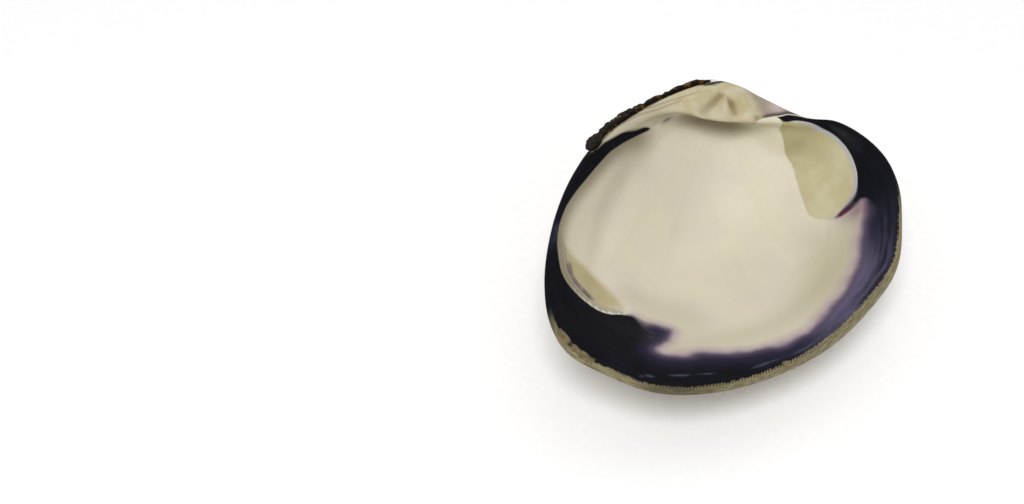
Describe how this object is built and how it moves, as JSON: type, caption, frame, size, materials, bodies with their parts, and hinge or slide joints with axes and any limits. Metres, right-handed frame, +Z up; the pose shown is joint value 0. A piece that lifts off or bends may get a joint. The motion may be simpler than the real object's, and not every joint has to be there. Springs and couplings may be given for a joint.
{
  "type": "hard clam shell",
  "caption": "Single left valve of a hard clam, hollow side up: thick oval bowl with a purple rim, hinge plate with teeth, and a dried strip of ligament.",
  "frame": {"origin": "middle of the bounding box, on the surface that the valve rests on", "axes": "+X towards the animal's front end, along the shell's length; +Y towards the hinge; +Z up, out of the hollow"},
  "size_m": [0.1022, 0.09, 0.0372],
  "materials": {
    "shell": "cream porcelain inside with a glossy purple rim, chalky tan growth ridges outside",
    "ligament": "dried, ragged, dark brown horn"
  },
  "bodies": {
    "root": {"valve": "shell", "ligament": "ligament"}
  },
  "joints": []
}
